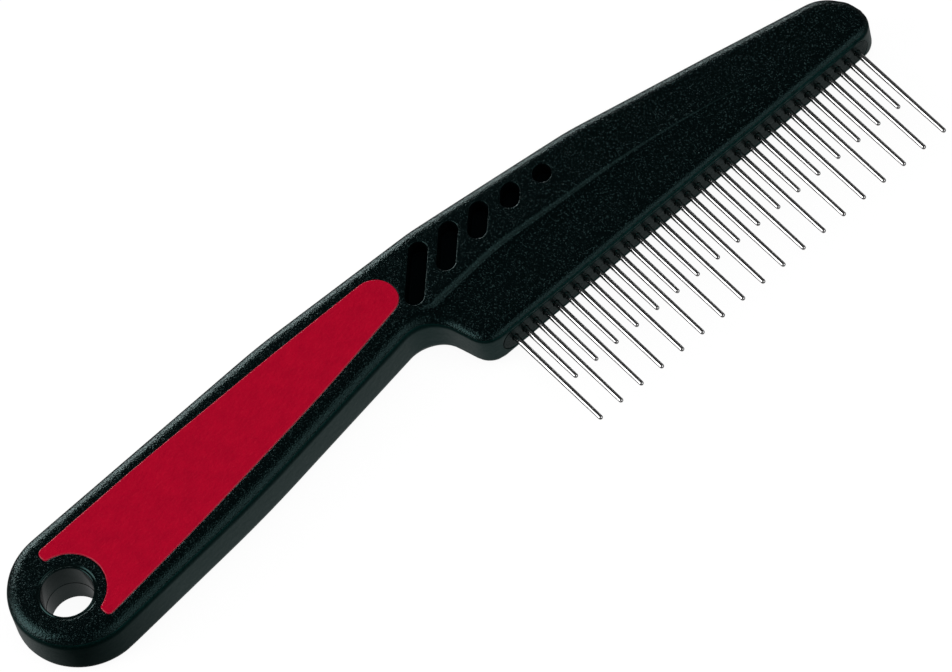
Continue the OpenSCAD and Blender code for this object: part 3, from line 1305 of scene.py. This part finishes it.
@dataclass
class ToothStrip:
    """The strip that the pins turn in. Lengths are in millimetres.

    At the tip the strip is trimmed to the body's wall, by a block that follows the wall from
    trim_from on and reaches out to trim_to.
    """

    edge_r: float = 0.2
    edge_steps: int = 3
    hole_r: float = 0.72
    mouth: float = 0.3
    cut_to: float = 2.5
    past: float = 0.5
    flare: float = 0.05
    round_steps: int = 20
    hole_faces: int = 24
    mouth_steps: int = 4
    tip_gap: float = 0.05
    trim_from: float = 195.0
    trim_to: tuple[float, float] = (210.0, -30.0)
    trim_step: float = 1.0

    def build(self, body: CombBody) -> Object:
        """Build the strip and stand it in for its CAD node.

        Args:
            body: The body whose groove it fills, and whose wall trims it at the tip.

        Returns:
            The strip.
        """
        low, high = (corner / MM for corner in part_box("tooth_strip"))
        first = axis_x(PINS[0])
        steps = [Step(0, -high.y), Step(0, -low.y - self.edge_r)]
        steps += quarter(self.edge_r, -low.y, self.edge_steps, Face.GRAINED, opening=False)
        outline = bar(axis_x(PINS[-1]) - first, high.z - low.z, self.round_steps)
        bm = bmesh.new()
        loft(bm, outline, steps, tooth_space(first, 0))
        strip = finish_solid("tooth_strip_bar", bm)
        strip.data.materials.append(STRIP_PLASTIC.material())
        carve(strip, self.outside(body, high.z * 2))
        carve(strip, self.holes(low.y))
        even_shading(strip)
        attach(strip, "comb")
        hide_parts("tooth_strip")
        return strip

    def outside(self, body: CombBody, reach: float) -> Object:
        """Make the cutter that trims the strip to the body's wall at the tip.

        Args:
            body: The body.
            reach: Half of the cutter's height.

        Returns:
            The cutter, a block beyond the wall.
        """
        bm = bmesh.new()
        stations = [x for x in body.stations() if x > self.trim_from]
        edge = [Vector((x, body.lower.at(x) + self.tip_gap)) for x in stations]
        rise = edge[-1].y + self.trim_step
        far_x, far_y = self.trim_to
        edge += [Vector((body.x_max - self.tip_gap, rise)), Vector((far_x, rise))]
        edge += [Vector((far_x, far_y)), Vector((edge[0].x, far_y))]
        loft(bm, edge[::-1], [Step(0, -reach), Step(0, reach)], TO_METRES)
        return finish_solid("strip_trim", bm)

    def holes(self, tooth_y: float) -> Object:
        """Make the cutter of all the pins' holes.

        Args:
            tooth_y: The strip's outer face.

        Returns:
            The cutter.
        """
        bm = bmesh.new()
        mouth_r = self.hole_r + self.mouth
        profile = [(0.0, -self.cut_to), (self.hole_r, -self.cut_to), (self.hole_r, -self.mouth)]
        for i in range(1, self.mouth_steps + 1):
            angle = math.pi / 2 * i / self.mouth_steps
            radius = mouth_r - self.mouth * math.cos(angle)
            profile.append((radius, -self.mouth * (1 - math.sin(angle))))
        profile += [(mouth_r + self.flare, self.past), (0.0, self.past)]
        for node in PINS:
            lathe(bm, profile, tooth_space(axis_x(node), tooth_y), self.hole_faces, Face.GRAINED)
        return finish_solid("pin_holes", bm)


# ---------------------------------------------------------------------------
# Camera, floor and light
# ---------------------------------------------------------------------------


@dataclass(frozen=True)
class Viewpoint:
    """The camera: where it aims, from which side, and how it is rolled.

    Lengths are in millimetres and angles in degrees. Azimuth 0 looks along +Y.
    """

    aim: tuple[float, float, float] = (98.13, -11.14, 0.0)
    distance: float = 1642.2
    azimuth: float = -26.5
    elevation: float = 59.52
    roll: float = -16.42
    lens: float = 306.8

    def place(self) -> None:
        """Make the camera and set it as the scene's."""
        data = bpy.data.cameras.new("camera")
        data.lens = self.lens
        data.sensor_width = 36.0
        data.clip_start, data.clip_end = 0.05, 60.0
        camera = bpy.data.objects.new("camera", data)
        bpy.context.scene.collection.objects.link(camera)
        turn, rise = math.radians(self.azimuth), math.radians(self.elevation)
        level = math.cos(rise)
        back = Vector((math.sin(turn) * level, -math.cos(turn) * level, math.sin(rise)))
        camera.location = (Vector(self.aim) + back * self.distance) * MM
        camera.rotation_mode = "QUATERNION"
        upright = (-back).to_track_quat("-Z", "Y")
        camera.rotation_quaternion = upright @ Quaternion((0, 0, 1), math.radians(self.roll))
        bpy.context.scene.camera = camera


@dataclass(frozen=True)
class Softbox:
    """A rectangular studio light: its direction from the comb, distance, size and radiance.

    Lengths are in metres. A fill light that isn't mirrored leaves no highlight.
    """

    name: str
    direction: tuple[float, float, float]
    distance: float
    size: tuple[float, float]
    radiance: float
    mirrored: bool = True

    def place(self, aim: Vector) -> None:
        """Make the light.

        Args:
            aim: The point that it faces.
        """
        data = bpy.data.lights.new(self.name, "AREA")
        data.shape = "RECTANGLE"
        data.size, data.size_y = self.size
        data.energy = self.radiance * math.pi * self.size[0] * self.size[1]
        light = bpy.data.objects.new(self.name, data)
        bpy.context.scene.collection.objects.link(light)
        towards = Vector(self.direction).normalized()
        light.location = aim + towards * self.distance
        light.rotation_mode = "QUATERNION"
        light.rotation_quaternion = (-towards).to_track_quat("-Z", "Y")
        light.visible_glossy = self.mirrored


@dataclass(frozen=True)
class Studio:
    """The pale floor, the dim room and the soft lights. Lengths are in metres.

    The floor's mirror image goes from the first strength of mirrored, where a ray meets it
    steeply, to the second, where it meets it flatly (mirrored_facing). It fades, by
    mirrored_fade, beyond the handle's end (mirrored_from, along X) on the side of the teeth
    (mirrored_behind, along Y). The room is white up to the first height of horizon, and as dim
    as room from the second.
    """

    floor_size: float = 40.0
    floor_colour: tuple[float, float, float] = (0.08, 0.08, 0.08)
    floor_glow: float = 0.94
    mirrored: tuple[float, float] = (0.36, 0.06)
    mirrored_facing: tuple[float, float] = (0.16, 0.34)
    mirrored_from: tuple[float, float] = (-0.008, 0.02)
    mirrored_behind: tuple[float, float] = (-0.011, 0.003)
    mirrored_fade: tuple[float, float] = (0.1, 1.0)
    room: float = 0.06
    horizon: tuple[float, float] = (0.05, 0.09)
    lights: tuple[Softbox, ...] = (
        Softbox("back_panel", (0.22, 0.97, 0.05), 1.6, (1.1, 0.45), 9.5),
        Softbox("back_top", (-0.01, 0.93, 0.33), 1.6, (0.24, 0.46), 12.0),
        Softbox("left_panel", (-0.82, 0.42, 0.4), 1.4, (0.9, 1.25), 4.0),
        Softbox("front_panel", (0.35, -0.82, 0.45), 1.6, (1.5, 1.2), 1.15),
        Softbox("top_fill", (0.1, -0.2, 0.97), 1.5, (1.6, 1.6), 1.9, mirrored=False),
    )

    def lay_floor(self) -> None:
        """Make the floor that the comb lies on."""
        bm = bmesh.new()
        bmesh.ops.create_grid(bm, x_segments=1, y_segments=1, size=self.floor_size / 2)
        bmesh.ops.translate(bm, verts=bm.verts, vec=(0, 0, CAD_BOX[0].z))
        floor = finish_mesh("floor", bm)
        floor.data.materials.append(self.floor_finish())

    def mirror_strength(self, recipe: Recipe) -> NodeSocket:
        """Work out how bright the floor's mirror image is.

        Args:
            recipe: The floor's material.

        Returns:
            The strength.
        """
        weight = recipe.add("ShaderNodeLayerWeight", Blend=0.5)
        steep = recipe.spread(weight.outputs["Facing"], *self.mirrored, *self.mirrored_facing)
        place = recipe.add("ShaderNodeSeparateXYZ")
        recipe.link(recipe.add("ShaderNodeTexCoord").outputs["Object"], place.inputs[0])
        ahead = recipe.spread(place.outputs["X"], *self.mirrored_fade, *self.mirrored_from)
        behind = recipe.spread(place.outputs["Y"], *self.mirrored_fade, *self.mirrored_behind)
        return recipe.math("MULTIPLY", steep, recipe.math("MAXIMUM", ahead, behind))

    def floor_finish(self) -> Material:
        """Make the floor's finish: dull, white to the camera, with a dimmer mirror image."""
        recipe = Recipe("pale_floor")
        shader = recipe.shader
        shader.inputs["Base Color"].default_value = (*self.floor_colour, 1)
        shader.inputs["Roughness"].default_value = 1.0
        shader.inputs["Specular IOR Level"].default_value = 0.0
        rays = recipe.add("ShaderNodeLightPath").outputs
        glow = recipe.add("ShaderNodeEmission", Color=(1, 1, 1, 1), Strength=self.floor_glow)
        dark = recipe.add("ShaderNodeEmission", Color=(0, 0, 0, 1), Strength=0.0)
        pick = recipe.add("ShaderNodeMixShader")
        seen = recipe.math("MAXIMUM", rays["Is Camera Ray"], rays["Is Transmission Ray"])
        recipe.link(seen, pick.inputs["Fac"])
        recipe.link(dark.outputs[0], pick.inputs[1])
        recipe.link(glow.outputs[0], pick.inputs[2])
        both = recipe.add("ShaderNodeAddShader")
        recipe.link(shader.outputs["BSDF"], both.inputs[0])
        recipe.link(pick.outputs[0], both.inputs[1])
        image = recipe.add("ShaderNodeEmission", Color=(1, 1, 1, 1))
        recipe.link(self.mirror_strength(recipe), image.inputs["Strength"])
        whole = recipe.add("ShaderNodeMixShader")
        recipe.link(rays["Is Glossy Ray"], whole.inputs["Fac"])
        recipe.link(both.outputs[0], whole.inputs[1])
        recipe.link(image.outputs[0], whole.inputs[2])
        recipe.link(whole.outputs[0], recipe.output.inputs["Surface"])
        return recipe.material

    def light_room(self) -> None:
        """Set the room: white up to just above the horizon, and dim over it."""
        world = bpy.data.worlds.new("room")
        bpy.context.scene.world = world
        world.use_nodes = True
        tree = world.node_tree
        tree.nodes.clear()
        output = tree.nodes.new("ShaderNodeOutputWorld")
        ground = tree.nodes.new("ShaderNodeBackground")
        place = tree.nodes.new("ShaderNodeTexCoord")
        split = tree.nodes.new("ShaderNodeSeparateXYZ")
        band = tree.nodes.new("ShaderNodeMapRange")
        band.inputs["From Min"].default_value = self.horizon[0]
        band.inputs["From Max"].default_value = self.horizon[1]
        band.inputs["To Min"].default_value = 1.0
        band.inputs["To Max"].default_value = self.room
        tree.links.new(place.outputs["Generated"], split.inputs[0])
        tree.links.new(split.outputs["Z"], band.inputs["Value"])
        tree.links.new(band.outputs["Result"], ground.inputs["Strength"])
        tree.links.new(ground.outputs[0], output.inputs["Surface"])

    def build(self) -> None:
        """Build the floor, the room and the lights."""
        self.lay_floor()
        self.light_room()
        aim = (CAD_BOX[0] + CAD_BOX[1]) / 2
        for light in self.lights:
            light.place(aim)


def main() -> None:
    """Build the comb, then the camera, the floor and the light."""
    logging.basicConfig(level=logging.INFO, format="%(name)s: %(message)s")
    scene = bpy.context.scene
    scene.view_settings.view_transform = "Standard"
    comb, grip = CombBody(), Grip()
    shell = comb.build(grip)
    LOG.info("%s: %d faces", shell.name, len(shell.data.polygons))
    for side, node in ((Side.FRONT, "front_grip"), (Side.REAR, "rear_grip")):
        LOG.info("%s", grip.build(side, node).name)
    LOG.info("%s", ToothStrip().build(comb).name)
    steel = PIN_STEEL.material()
    for node in PINS:
        LOG.info("%s", Pin(node).build(steel).name)
    Viewpoint().place()
    Studio().build()


if __name__ == "__main__":
    main()
